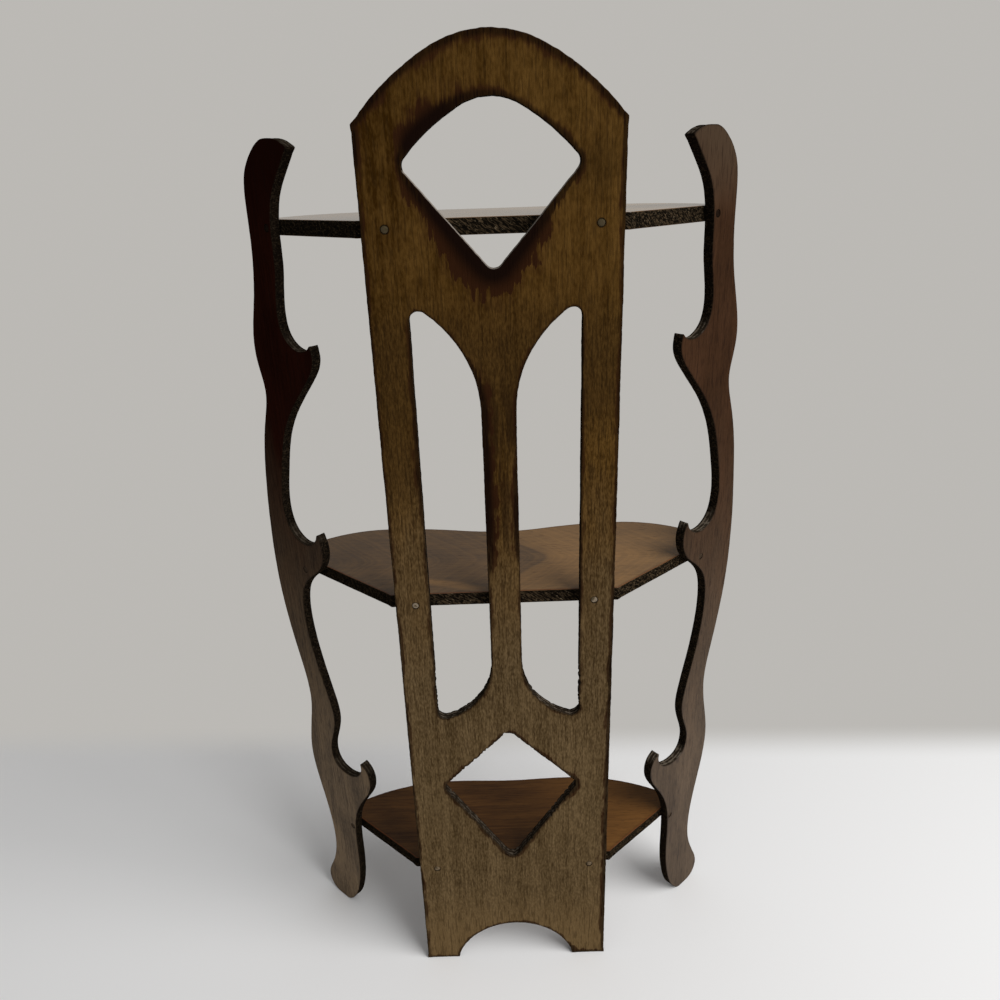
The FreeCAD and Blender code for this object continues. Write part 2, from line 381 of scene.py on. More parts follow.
def rim(board, cut, thick, arris, chatter):
    """Adds the rows and strips down a cut and returns its first and last rows."""
    line, step, loose, torn, bled, dust = cut
    rows = [arris_row(board, cut, arris * loose + TEAR_DOWN * torn, angle, 0, 1) for angle in ARRIS_STEPS]
    for share in CHATTER_ROWS:
        rough = chatter * CHATTER_GAIN * loose * ripple(line, CHATTER_WAVE, share * CHATTER_SEED)
        rows.append(board.add(line + step * rough[:, None], share * thick, -CHATTER_ROWS[0] * thick,
                              bled, dust, share))
    rows += [arris_row(board, cut, arris * loose, angle, thick, -1) for angle in reversed(ARRIS_STEPS)]
    board.bands(rows)
    return rows[0], rows[-1]


print("a cut has", 2 * len(ARRIS_STEPS) + len(CHATTER_ROWS), "rows")

# %% [markdown]
# ## A sawn board
# A board is a rim round every cut, a shallow pocket for every nail head, and the two filled faces.
# The pockets could be cut with a boolean, but here the nail holes are loops of the CAD face already,
# so each only needs a ring of vertices and a bottom.

# %% Building a board with pockets for its nail heads
NAIL_HOLE = 6  # mm, narrower loops are nail holes
POCKET_RADIUS = 1.64
POCKET_DEPTHS = (0, 0.2, 1.3)
POCKET_POINTS = 20
POCKET_STAIN = 0.3  # mm that stain bled round a nail


def nail_pocket(board, middle):
    """Adds a round pocket and returns its upper ring."""
    turns = np.radians(np.arange(POCKET_POINTS) * -360 / POCKET_POINTS)
    ring = middle + POCKET_RADIUS * np.column_stack([np.cos(turns), np.sin(turns)])
    rows = [board.add(ring, down, -down, POCKET_STAIN, 0, 0) for down in POCKET_DEPTHS]
    board.bands(rows)
    deepest = POCKET_DEPTHS[-1]
    bottom = board.add([middle], deepest, -deepest, POCKET_STAIN, 0, 0)[0]
    for a, b in zip(rows[-1], np.roll(rows[-1], -1)):
        board.face((b, a, bottom), True)
    return rows[0]


def close_face(board, rows, down, room, spacing):
    """Fills the face inside some rows, down mm below the board's own face. room is 1 on the room side."""
    edge = np.concatenate(rows)
    bled = np.array([board.marks[i][1] for i in edge])
    inner, gap, close, triangles = fill([board.flat(row) for row in rows], spacing)
    middle = board.add(inner, down, gap, bled[close], 0, room)
    for a, b, c in np.concatenate([edge, middle])[triangles]:
        board.face((c, b, a) if room else (a, b, c), False)


def sawn_board(name, node, outward, finish, *, spacing=1.0, arris=0.4, waver=0.3, chatter=0.15,
               steady=None, bleed=None, tear=None):
    """Makes a board from a node's outlines. Returns the piece and its nails' places on the face."""
    axes = board_axes(outward)
    loops, reach, thick = flat_outlines(node, axes)
    board = Mesher(axes, reach)
    nails = [loop.mean(0) for loop in loops if np.ptp(loop[:, 0]) < NAIL_HOLE]
    sawn = [loop for loop in loops if np.ptp(loop[:, 0]) >= NAIL_HOLE]
    upright = abs(axes[2].z) < LYING_FLAT
    outer, inner = [], []
    for number, loop in enumerate(sawn):
        cut = hand_cut(loop, number, upright, spacing, waver, chatter, steady, bleed, tear)
        first, last = rim(board, cut, thick, arris, chatter)
        outer.append(first)
        inner.append(last)
    outer += [nail_pocket(board, middle) for middle in nails]
    close_face(board, outer, 0, 0, spacing)
    close_face(board, inner, thick, 1, spacing)
    piece = board.piece(name, finish)
    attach(piece, "root")
    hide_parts(node)
    print(name, "has", len(board.places), "vertices and", len(nails), "nail pockets")
    return piece, [board.place(x, y, 0) for x, y in nails]


print("a nail's pocket is", 2 * POCKET_RADIUS, "mm wide and", POCKET_DEPTHS[-1], "mm deep")

# %% [markdown]
# ## Writing shaders as sums
# A material is a graph of nodes. Drawn by hand such graphs grow large, so one small class wraps a
# node's output and lets Python's own signs add Math nodes: 1 - mask or a * b + c. Every other node
# comes from its one method, node. Colours go through a Mix node, because a Math node would turn them
# grey.

# %% A wrapped socket
class Value:
    """An output of a shader node, or with no socket the start of a node tree."""

    def __init__(self, tree, socket=None):
        self.tree, self.socket = tree, socket

    def node(self, kind, sockets=None, out=0, **settings):
        """Adds a node with its settings and its sockets' values or links, and gives one output."""
        made = self.tree.nodes.new("ShaderNode" + kind)
        for name, setting in settings.items():
            setattr(made, name, setting)
        for name, given in (sockets or {}).items():
            if isinstance(given, Value):
                self.tree.links.new(given.socket, made.inputs[name])
            else:
                made.inputs[name].default_value = given
        return Value(self.tree, made.outputs[out] if made.outputs else None)

    def math(self, operation, *others):
        """Adds a Math node for this value and others."""
        return self.node("Math", dict(enumerate((self, *others))), operation=operation)

    def __add__(self, other):
        return self.math("ADD", other)

    def __sub__(self, other):
        return self.math("SUBTRACT", other)

    def __rsub__(self, other):
        return self.node("Math", {0: other, 1: self}, operation="SUBTRACT")

    def __mul__(self, other):
        return self.math("MULTIPLY", other)

    __radd__, __rmul__ = __add__, __mul__


print("signs that add a Math node: + - *")

# %% Helpers that every finish needs
MIX_SHARE, MIX_FIRST, MIX_SECOND, MIX_RESULT = 0, 6, 7, 2  # colour sockets of a Mix node
SHIFT_SPREAD = (1, 0.7, 1.3)  # moves noise by unlike amounts along X, Y and Z


def rise(value, low, high):
    """0 where value is under low, 1 where it is over high, and smooth between."""
    return value.node("MapRange", {"Value": value, "From Min": low, "From Max": high},
                      interpolation_type="SMOOTHSTEP")


def blend(share, first, second):
    """The first colour where share is 0 and the second where it is 1."""
    first, second = ((*c, 1) if isinstance(c, tuple) else c for c in (first, second))
    return share.node("Mix", {MIX_SHARE: share, MIX_FIRST: first, MIX_SECOND: second}, MIX_RESULT,
                      data_type="RGBA")


def grain(where, spans, detail=3.0, shift=0.0, twist=0.0):
    """Noise whose waves are as long as spans says, in mm along X, Y and Z."""
    scaled = where.node("VectorMath", {
        0: where, 1: tuple(METRE / s for s in spans), 2: tuple(shift * s for s in SHIFT_SPREAD)},
        operation="MULTIPLY_ADD")
    return where.node("TexNoise", {
        "Vector": scaled, "Scale": 1.0, "Detail": detail, "Distortion": twist})


def new_finish(name):
    """An empty material: the start of its node tree, the material itself, and the place on its piece."""
    finish = bpy.data.materials.new(name)
    finish.use_nodes = True
    finish.node_tree.nodes.clear()
    start = Value(finish.node_tree)
    return start, finish, start.node("TexCoord", out="Object")


def split(where, axes):
    """The coordinates of a place along some axes."""
    return [where.node("SeparateXYZ", {"Vector": where}, out=axis) for axis in axes]


def numbers(start):
    """The four numbers that a board's vertices carry."""
    return [start.node("Attribute", out="Fac", attribute_name=label) for label in FINISH_NUMBERS]


def principled(start, colour, roughness, height, depth, coat=(0.0, 0.03), metal=0.0):
    """Ends a finish. Its bumps are depth mm high, and its coat has a weight and a roughness."""
    normal = start.node("Bump", {"Strength": 1.0, "Distance": depth / METRE, "Height": height})
    shader = start.node("BsdfPrincipled", {
        "Base Color": colour, "Roughness": roughness, "Normal": normal, "Specular IOR Level": 0.0,
        "Coat Weight": coat[0], "Coat Roughness": coat[1], "Metallic": metal})
    start.node("OutputMaterial", {"Surface": shader})


print("finishes read", len(FINISH_NUMBERS), "numbers")

# %% [markdown]
# ## The sawn edges
# Plywood shows its layers where it is cut: fibres that end at the cut take up stain and go nearly
# black, and the layer between them keeps some straw-coloured fibre. Where a cut faces up, dust settles
# and a painted sheen stands for the light it catches. Two functions, for a smooth cut and for one left
# from the saw, give an edge's colour and height, and the boards' finishes blend to them by the distance
# from the cut.

# %% Colours of a sawn edge
PLY_TURNS = 17.5  # radians of the layers' wave from the wall side to the room side
CUT_BLACK, CUT_BROWN, CUT_GLINT = (0.0055, 0.004, 0.0028), (0.042, 0.029, 0.017), (0.13, 0.10, 0.07)
# Pale dust on cuts that face up, with a painted sheen for the light they catch:
DUST_SHEEN_THIN, DUST_SHEEN_THICK = (0.022, 0.016, 0.0105), (0.160, 0.130, 0.097)
TORN_BLACK, TORN_BROWN, TORN_GLINT = (0.004, 0.003, 0.0021), (0.05, 0.034, 0.019), (0.18, 0.14, 0.088)
TORN_SLANT = 0.6  # radians


def sawn_edge(where, dust, room, shift, dust_and_sheen_share):
    """The colour of a smooth cut, with the lines of its layers in the dust and painted sheen, and its height.
    """
    fibres = rise(grain(where, (1.3, 1.1, 0.6), 4, shift, 1.0), 0.46, 0.68)
    tone = blend(fibres * 0.7, CUT_BLACK, CUT_BROWN)
    glints = rise(grain(where, (0.9, 0.9, 0.6), 3, shift + 4), 0.64, 0.74)
    tone = blend(glints * 0.5, tone, CUT_GLINT)
    layers = rise((room * PLY_TURNS).math("COSINE"), 0.1, 0.9)
    specks = rise(grain(where, (2.4, 2.4, 1.8), 3, shift + 9) + 0.18 * layers, 0.50, 0.76)
    # Dust and a painted sheen where the cut faces up.
    dust_and_sheen_tone = blend(specks * dust_and_sheen_share, DUST_SHEEN_THIN, DUST_SHEEN_THICK)
    return blend(rise(dust, 0.3, 0.8) * 0.85, tone, dust_and_sheen_tone), fibres


def rough_edge(where, shift):
    """The colour of an edge left from the saw, with slanting torn fibres, and its height."""
    tilted = where.node("Mapping", {"Vector": where, "Rotation": (0, TORN_SLANT, 0)})
    fibres = rise(grain(tilted, (2.6, 0.8, 0.6), 4, shift, 0.8), 0.45, 0.68)
    tone = blend(fibres, TORN_BLACK, TORN_BROWN)
    glints = rise(grain(tilted, (1.2, 0.7, 0.5), 3, shift + 4), 0.63, 0.73)
    return blend(glints * 0.6, tone, TORN_GLINT), fibres


print("a cut shows about", round(PLY_TURNS / math.tau), "layers")

# %% [markdown]
# ## The panel's wood
# The panel's wall side was only wiped with stain: an olive brown with fine upright grain and short
# dark pores. It is darker at the waist, under the wide opening. Towards the feet it is painted paler
# and greyer, as a painted reflection of the floor, and painted light and shade make one side paler in
# the middle and darker at the top. The pores are stretched noise, cut off high so that only short
# dashes are left. A photo of plywood would be quicker, but noise has no seams and no end.

# %% Grain and wiped stain of the back panel
OLIVE = (0.026, 0.0112, 0.0017), (0.100, 0.0515, 0.0125)
# Painted floor reflection and light: the next pair greys the lower panel, and the second colour of the line
# after it pales the feet.
PAINTED_FLOOR_SHEEN = (0.052, 0.032, 0.013), (0.146, 0.097, 0.047)
WAIST_BROWN, FOOT_PAINTED_LIGHT = (0.020, 0.0112, 0.0047), (0.160, 0.101, 0.044)
SPLAT_STREAK, PANEL_PORE = (0.012, 0.0055, 0.0026), (0.018, 0.009, 0.0032)
# Heights in m over which something sets in, or fades if the first is the higher one
UNDER_OPENING, WAIST_FOOT, PANEL_FOOT = (0.345, 0.375), (0.285, 0.31), (0.06, 0.01)
# On the next line, painted light and shade across the panel set in over the first two spans, and a painted
# shade of the upper corner over the third.
LEFT_PAINTED_LIGHT, RIGHT_PAINTED_LIGHT, CORNER_PAINTED_SHADE = (0.14, 0.20), (0.28, 0.32), (0.39, 0.415)
# On the next line, the first two spans are where the painted floor reflection greys the panel and where it
# weakens.
FLOOR_SHEEN_HEIGHTS, FLOOR_SHEEN_WEAKER, MORE_PORES = (0.315, 0.18), (0.12, 0.19), (0.18, 0.26)
SPLAT_FOOT, SPLAT_HEAD = (0.252, 0.266), (0.345, 0.315)
# Distances in m from the panel's middle; the second is where a painted shade of the upper corner sets in
SPLAT_HALF, CORNER_SHADE_SIDE = (0.012, 0.008), (0.01, 0.04)


def panel_grain(where):
    """The panel's grain, from fine specks to wide clouds."""
    return SimpleNamespace(
        pores=rise(grain(where, (0.85, 0.85, 9), 3), 0.50, 0.63),
        specks=rise(grain(where, (0.9, 0.9, 2.6), 3, 11), 0.35, 0.65),
        fine=rise(grain(where, (0.6, 0.6, 1.9), 3, 23), 0.35, 0.65),
        hairs=rise(grain(where, (0.9, 0.9, 30), 4, 3.1), 0.3, 0.7),
        bands=rise(grain(where, (4.5, 4.5, 140), 3, 5.2, 0.3), 0.3, 0.7),
        clouds=grain(where, (18, 18, 45), 3, 7.7),
        mottles=rise(grain(where, (5, 5, 9), 3, 17), 0.35, 0.65),
        wicks=rise(grain(where, (1.5, 1.5, 22), 4, 1.3), 0.3, 0.7),
        streaks=rise(grain(where, (2.4, 2.4, 34), 4, 9.3, 0.5), 0.40, 0.56),
        blots=rise(grain(where, (7, 7, 10), 3, 2.2), 0.3, 0.7))


def wiped_wood(x, height, marks):
    """The colour of the panel's wall side away from its cuts, with painted light and shade across it and a
    painted floor reflection towards its feet.
    """
    top = rise(height, *UNDER_OPENING)
    waist = rise(height, *reversed(UNDER_OPENING)) * rise(height + x * 0.4, *WAIST_FOOT)
    splat = rise(x.math("ABSOLUTE"), *SPLAT_HALF) * rise(height, *SPLAT_FOOT) * rise(height, *SPLAT_HEAD)
    shade = marks.specks * 0.26 + marks.hairs * 0.22 + marks.bands * 0.24
    shade = shade + rise(marks.clouds, 0.3, 0.7) * 0.18 + marks.mottles * 0.10
    # Painted light and shade: in the middle the +x side is painted paler, and above the waist it is painted
    # darker.
    shade += x * (1.4 * rise(height, *LEFT_PAINTED_LIGHT) - 2.2 * rise(height, *RIGHT_PAINTED_LIGHT))
    shade += top * (marks.mottles * 0.12 - 0.06)
    # Painted shade darkens the upper corner on the +x side.
    shade -= rise(x, *CORNER_SHADE_SIDE) * top * (0.18 + 0.10 * rise(height, *CORNER_PAINTED_SHADE))
    shade += (marks.fine - 0.5) * (0.45 - 0.35 * top)
    # Towards the feet a paler, greyer tone takes over: a painted reflection of the floor.
    floor_sheen_tone = blend(shade - 0.12 * rise(height, *FLOOR_SHEEN_WEAKER), *PAINTED_FLOOR_SHEEN)
    tone = blend(rise(height + marks.clouds * 0.1 - 0.05, *FLOOR_SHEEN_HEIGHTS), blend(shade, *OLIVE), floor_sheen_tone)
    tone = blend(waist * 0.42, tone, WAIST_BROWN)
    tone = blend(marks.streaks * splat * 0.62, tone, SPLAT_STREAK)
    # Painted floor light makes the feet paler still.
    tone = blend(rise(height, *PANEL_FOOT) * 0.6, tone, FOOT_PAINTED_LIGHT)
    return blend(marks.pores * (0.42 + 0.14 * rise(height, *MORE_PORES) - 0.20 * top), tone, PANEL_PORE)


print("the panel's waist lies under", UNDER_OPENING[1], "m")

# %% [markdown]
# ## The panel's stain
# Near the cuts the stain ran over from the edges and left dark bands. Noise in how far they reach
# makes them end in wicks and blots, not in a clean line. The room side is varnished like the rest.

# %% Finish of the back panel
STAIN_DEEP, STAIN_THIN = (0.0065, 0.003, 0.002), (0.023, 0.0085, 0.0035)
CORNER_BLOT, BLOT_BROWN = (-0.040, 0.04, 0.413), (0.012, 0.0065, 0.0025)
PANEL_FRONT, FRONT_PORE = ((0.040, 0.013, 0.006), (0.15, 0.056, 0.02)), (0.02, 0.007, 0.004)
# The heights and colour on the next line are a painted sheen on the wide opening's slanting cuts, where they
# catch the light.
PALE_SLANTS, SLANT_PAINTED_SHEEN = (0.33, 0.37), (0.30, 0.26, 0.22)
SOFT_BANDS, BLOT_SIZE = (0.408, 0.425), (0.016, 0.005)  # m
ROOM_SIDE = 0.6, 0.9  # shares of the way through a board
FACE_TO_CUT = 0.12, -0.3  # mm from the cut


def run_over(tone, where, height, cut, bled, wall_side, marks):
    """The wall side's colour with the stain that ran over from its cuts."""
    reach = bled * (0.35 + 0.65 * marks.wicks + 0.65 * marks.blots)
    soft = rise(height, *SOFT_BANDS) * bled * 0.25
    band = rise(reach - cut, -0.2 - soft, 0.35 + soft)
    stain = blend(rise(cut.math("DIVIDE", bled + 0.3), 0.25, 0.9), STAIN_DEEP, STAIN_THIN)
    tone = blend(rise(reach * 1.7 - cut, -1.0, 2.5) * 0.22 * wall_side, tone, stain)
    strength = 0.55 + 0.06 * bled + 0.2 * marks.pores + 0.1 * marks.blots
    tone = blend(band * strength * wall_side, tone, stain)
    away = where.node("VectorMath", {0: where, 1: CORNER_BLOT}, "Value", operation="DISTANCE")
    return blend(rise(away + 0.005 * marks.wicks, *BLOT_SIZE) * 0.3 * wall_side, tone, BLOT_BROWN)


def panel_finish(name):
    """Wiped stain on the wall side, varnish on the room side, and cuts with dust and a painted sheen."""
    start, finish, where = new_finish(name)
    cut, bled, dust, room = numbers(start)
    x, height = split(where, "XZ")
    marks = panel_grain(where)
    tone = run_over(wiped_wood(x, height, marks), where, height, cut, bled, 1 - room, marks)
    front = blend(marks.hairs * 0.6 + marks.bands * 0.4, *PANEL_FRONT)
    front = blend(marks.pores * 0.5, front, FRONT_PORE)
    tone = blend(rise(room, *ROOM_SIDE), tone, front)
    edge, fibres = sawn_edge(where, dust, room, shift=0, dust_and_sheen_share=0.8)
    # A painted sheen where the wide opening's slanting cuts catch the light.
    edge = blend(rise(dust, 0.3, 0.6) * rise(height, *PALE_SLANTS) * 0.7, edge, SLANT_PAINTED_SHEEN)
    is_edge = rise(cut, *FACE_TO_CUT)
    relief = (1 - marks.pores) * 0.5 + marks.hairs * 0.3 + marks.specks * 0.2
    principled(start, blend(is_edge, tone, edge), roughness=0.62 + 0.25 * is_edge - 0.25 * room,
               height=relief * (1 - is_edge) + fibres * is_edge, depth=0.09,
               coat=(room * (1 - is_edge) * 0.7, 0.2))
    return finish


panel_stain = panel_finish("panel_stain")
print("panel finish has", len(panel_stain.node_tree.nodes), "nodes")

# %% [markdown]
# ## The side boards' varnish
# The side boards are stained a dark red brown and varnished to a satin sheen, with fine streaks that
# run up the board. A streak is noise stretched some forty times along Z. The sheen is a thin coat over
# the stain, so the same shader stays dark face on and pale at a glancing angle. Towards the foot each
# board is also painted paler and greyer, as a painted reflection of the floor.

# %% Finish of the side boards
# The first colour on the next line is the dark end of the painted floor reflection on the boards' feet.
SIDE_FOOT_SHEEN_DARK, SIDE_PORE = (0.036, 0.0225, 0.0125), (0.008, 0.0035, 0.0025)
SIDE_BLED, SIDE_EDGE_DARK = (0.006, 0.003, 0.002), (0.005, 0.003, 0.002)
# The first span on the next line is where the painted floor reflection and the coat's extra sheen set in
# towards the foot.
SIDE_FOOT_SHEEN, SIDE_CREST, DARKER_EDGE = (0.33, 0.08), (0.385, 0.425), (0.33, 0.39)  # m above the floor


def side_finish(name, *, shift, dark, pale, crest, wear_and_sheen, sheen, dust_and_sheen_share):
    """dark and pale are the stain's ends and crest its top's colour. The foot's colour is a painted
    reflection of the floor, and sheen is the coat at the top and the foot.
    """
    start, finish, where = new_finish(name)
    cut, bled, dust, room = numbers(start)
    height, = split(where, "Z")
    streaks = rise(grain(where, (0.9, 0.9, 40), 5, shift, 0.4), 0.25, 0.75)
    clouds = grain(where, (16, 16, 50), 4, shift + 5)
    specks = rise(grain(where, (0.5, 0.5, 2.5), 3, shift + 8), 0.35, 0.65)
    pores = rise(grain(where, (0.8, 0.8, 8), 3, shift + 2), 0.52, 0.66)
    # The foot: painted paler and greyer for the floor's reflection, and more coated.
    low = rise(height + clouds * 0.12 - 0.06, *SIDE_FOOT_SHEEN)
    shade = streaks * 0.32 + rise(clouds, 0.3, 0.7) * 0.48 + specks * 0.2
    tone = blend(shade, dark, pale)
    tone = blend(rise(height + clouds * 0.04 - 0.02, *SIDE_CREST) * 0.8, tone, crest)
    # The painted reflection of the floor on the foot.
    tone = blend(low * 0.9, tone, blend(shade, SIDE_FOOT_SHEEN_DARK, wear_and_sheen))
    tone = blend(pores * 0.45, tone, SIDE_PORE)
    tone = blend(rise(bled * grain(where, (4, 4, 4), 2, shift) - cut, -0.3, 0.8) * 0.7, tone, SIDE_BLED)
    edge, fibres = sawn_edge(where, dust, room, shift, dust_and_sheen_share)
    edge = blend(rise(height, *DARKER_EDGE) * 0.4, edge, SIDE_EDGE_DARK)
    is_edge = rise(cut, *FACE_TO_CUT)
    top_sheen, foot_sheen = sheen
    principled(start, blend(is_edge, tone, edge), roughness=0.42 + 0.1 * clouds + 0.35 * is_edge,
               height=(1 - pores) * 0.5 + streaks * 0.3 + fibres * is_edge, depth=0.06,
               coat=((1 - is_edge) * (top_sheen + (foot_sheen - top_sheen) * low + 0.4 * room), 0.36))
    return finish


# The right board's darker stain is partly painted shade and the left board's paler one partly painted light.
# The pale colour for each foot and the left board's greyer crest are painted reflections.
right_varnish_painted_shade = side_finish(
    "right_side_varnish_painted_shade", shift=2.0, dark=(0.005, 0.0013, 0.0008), pale=(0.021, 0.0055, 0.003),
    crest=(0.010, 0.0026, 0.0015), wear_and_sheen=(0.236, 0.160, 0.088), sheen=(0.0, 0.22), dust_and_sheen_share=0.4)
left_varnish_painted_light = side_finish(
    "left_side_varnish_painted_light", shift=6.0, dark=(0.018, 0.0078, 0.0032), pale=(0.048, 0.022, 0.0105),
    crest=(0.048, 0.0315, 0.019), wear_and_sheen=(0.112, 0.075, 0.046), sheen=(0.06, 0.28), dust_and_sheen_share=0.9)
print("side finishes have", len(right_varnish_painted_shade.node_tree.nodes), "nodes each")

# %% [markdown]
# ## The shelves' figure
# The shelves show the pointed arches and long bands of a flat-sawn veneer. Such arches are the lines
# along which a tree's rings meet the sheet, so a figure works out the distance from a slanting axis
# and takes noise along that distance alone. An image of wood would do it faster, but it would repeat
# and blur close up. All lengths here are in mm along the CAD's X and Y.

# %% Figures of the shelves
POINT_TIP, POINT_SIDE, POINT_SLOPE = 21.9, 1.8, 0.95
POINT_ROUND, ROUND_BACK = 6, 2.3  # the second makes up for what the round takes off the tip
STREAK_LINE, STREAK_SLOPE, STREAK_WIDTH = 36.5, 0.37, (4.5, 1)
STREAK_FROM, STREAK_TO = (0, 14), (62, 36)
AMBER_SIDE = -10, -65


def plain_figure(x, y, waver):
    """Bands along the shelf that bend a little."""
    bands = x.node("CombineXYZ", {"X": x * 0.006, "Y": (y + waver) * 0.22})
    return rise(x.node("TexNoise", {"Vector": bands, "Scale": 1.0, "Detail": 3.0}), 0.35, 0.65)


def pointed_figure(x, y, waver):
    """A grey point with rings inside it, amber round it, and one amber streak by the back edge."""
    beside = y - POINT_SIDE
    rounded = (beside * beside + POINT_ROUND).math("POWER", 0.5)
    inward = x + POINT_TIP + waver * 0.5 - POINT_SLOPE * rounded + ROUND_BACK
    along = x.node("CombineXYZ", {"X": inward * 0.32})
    rings = x.node("TexNoise", {"Vector": along, "Scale": 1.0, "Detail": 4.0})
    off_streak = y + x * STREAK_SLOPE - STREAK_LINE + waver * 0.6
    streak = rise(off_streak.math("ABSOLUTE"), *STREAK_WIDTH)
    streak *= rise(x, *STREAK_FROM) * rise(x, *STREAK_TO)
    amber = rise(inward, 1.6, -1.6) * 0.72 + rise(rings, 0.42, 0.62) * 0.28
    return amber.math("MAXIMUM", streak)


def side_figure(x, y, waver):
    """Bands that turn amber to one side."""
    return plain_figure(x, y, waver) * 0.24 + rise(x + waver * 4, *AMBER_SIDE) * 0.80


print("the point's tip is", POINT_TIP, "mm from the middle of its shelf")

# %% [markdown]
# ## The shelves' varnish
# The shelves got the most varnish: a glossy red brown, with amber where the stain was wiped thin. The
# gloss is a coat over the stain, thinner on the undersides. A mirror-like base would look wet, so only
# the coat is smooth.

# %% Finish of a shelf
SHELF_PORE, SHELF_BLED, ARRIS_RED = (0.02, 0.008, 0.004), (0.012, 0.005, 0.003), (0.15, 0.042, 0.012)
UNDERSIDE = (0.038, 0.016, 0.007), (0.125, 0.060, 0.024)
SHELF_TO_CUT, ARRIS_START, ARRIS_END = (0.05, -0.3), (-0.1, 0.2), (0.75, 0.35)  # mm from the cut
DARKER_END = 20, 60  # mm along X


def shelf_finish(name, shift, figure, dark, amber, gloss):
    """figure gives from x, y in mm and some waver how amber the stain is; gloss is the varnish's weight."""
    start, finish, where = new_finish(name)
    cut, bled, _, room = numbers(start)
    x, y = (part * METRE for part in split(where, "XY"))
    waver = grain(where, (35, 9, 35), 3, shift) * 8 - 4
    hairs = rise(grain(where, (40, 1.1, 1.1), 4, shift + 3), 0.25, 0.75)
    pores = rise(grain(where, (6, 0.6, 0.6), 2, shift + 6), 0.56, 0.70)
    clouds = rise(grain(where, (32, 14, 30), 3, shift + 8), 0.3, 0.7)
    lines = rise(grain(where, (14, 0.5, 0.5), 3, shift + 5), 0.35, 0.65)
    tone = blend(figure(x, y, waver) * 0.56 + hairs * 0.14 + lines * 0.12 + clouds * 0.18, dark, amber)
    tone = blend(pores * 0.4, tone, SHELF_PORE)
    tone = blend(rise(bled - cut, -0.6, 1.2) * 0.5, tone, SHELF_BLED)
    line = rise(cut, *ARRIS_END) * rise(cut, *ARRIS_START) * (1 - room)
    tone = blend(line * 0.5, tone, ARRIS_RED)
    under = blend(hairs * 0.6 + clouds * 0.4, *UNDERSIDE)
    tone = blend(rise(room, *ROOM_SIDE), tone, blend(pores * 0.4, under, SHELF_PORE))
    edge, fibres = rough_edge(where, shift)
    edge = blend(rise(x, *DARKER_END) * 0.55, edge, TORN_BLACK)
    is_edge = rise(cut, *SHELF_TO_CUT)
    principled(start, blend(is_edge, tone, edge), roughness=0.36 + 0.1 * hairs + 0.35 * is_edge,
               height=(1 - pores) * 0.3 + hairs * 0.15 + fibres * is_edge * 3, depth=0.05,
               coat=((1 - is_edge) * gloss * (1 - 0.7 * room), 0.16))
    return finish


SHELF_LOOKS = {  # shift, figure, dark, amber, gloss
    "bottom": (8.0, side_figure, (0.023, 0.0086, 0.0031), (0.180, 0.079, 0.0195), 0.22),
    "middle": (4.0, pointed_figure, (0.076, 0.048, 0.029), (0.248, 0.134, 0.050), 0.40),
    "top": (1.0, plain_figure, (0.10, 0.060, 0.03), (0.30, 0.185, 0.075), 0.93)}
shelf_varnish = {level: shelf_finish(f"{level}_shelf_varnish", *looks)
                 for level, looks in SHELF_LOOKS.items()}
print("the middle shelf's finish has", len(shelf_varnish["middle"].node_tree.nodes), "nodes")

# %% [markdown]
# ## The back panel
# The panel is the piece the photo shows best: an arched top, one wide opening under it, two tall
# windows beside a slim splat, a pointed opening below, and two feet. Stain bled furthest round the
# upper opening and along one side of the splat, and the saw tore the pointed opening's edges. Both
# are given in mm for each place along a cut, because no one rule would put them there.
# In these tables a place is a height, or a distance from the middle that grows to the photo's right.

# %% Where the panel's stain bled
UPPER_OPENING, UPPER_ARCH = 380, 414  # mm, least heights of the wide opening's middle and its arch
WINDOW_HEIGHT, WINDOW_SIDE = 180, 8  # mm, least height of a window's middle, least way off the centre
SPLAT_SIDE = 13  # mm off the centre, within which a window's cut is the splat's
ARCH_BLED = (-33, 2.0), (-27, 8.5), (-15, 7.0), (-5, 3.2), (0, 2.0), (15, 1.5), (25, 2.2), (34, 1.8)
SLANT_BLED = ((-33, 1.5), (-28, 4.6), (-18, 7.0), (-8, 10.0), (0, 9.5), (8, 8.0), (16, 6.0), (25, 3.0),
              (34, 1.6))
LEFT_OF_SPLAT = ((190, 1.0), (240, 1.2), (254, 4.0), (268, 5.5), (290, 5.0), (320, 4.2), (335, 2.6),
                 (345, 1.2))
RIGHT_OF_SPLAT = (240, 0.9), (252, 1.6), (264, 3.0), (282, 2.6), (300, 0.9)
LEFT_STILE = (270, 0.9), (295, 1.9), (330, 1.6), (345, 0.9)
RIGHT_STILE = 0.9
TOP_BLED = (405, 0), (430, 1.6)
RIM_LEAST, RIM_MORE, RIM_WAVE, RIM_SEED = 0.7, 1.0, 30, 3
LOWER_RIGHT, LOWER_RIGHT_BLED = (30, 200), 1.0  # past the first to the side and under the second in height


def read_off(table, places):
    """The values of a table at some places, and between the places that it lists."""
    return np.interp(places, *zip(*table))


def is_window(middle):
    """Whether a cut with that middle is one of the two tall windows."""
    return middle[1] > WINDOW_HEIGHT and abs(middle[0]) > WINDOW_SIDE


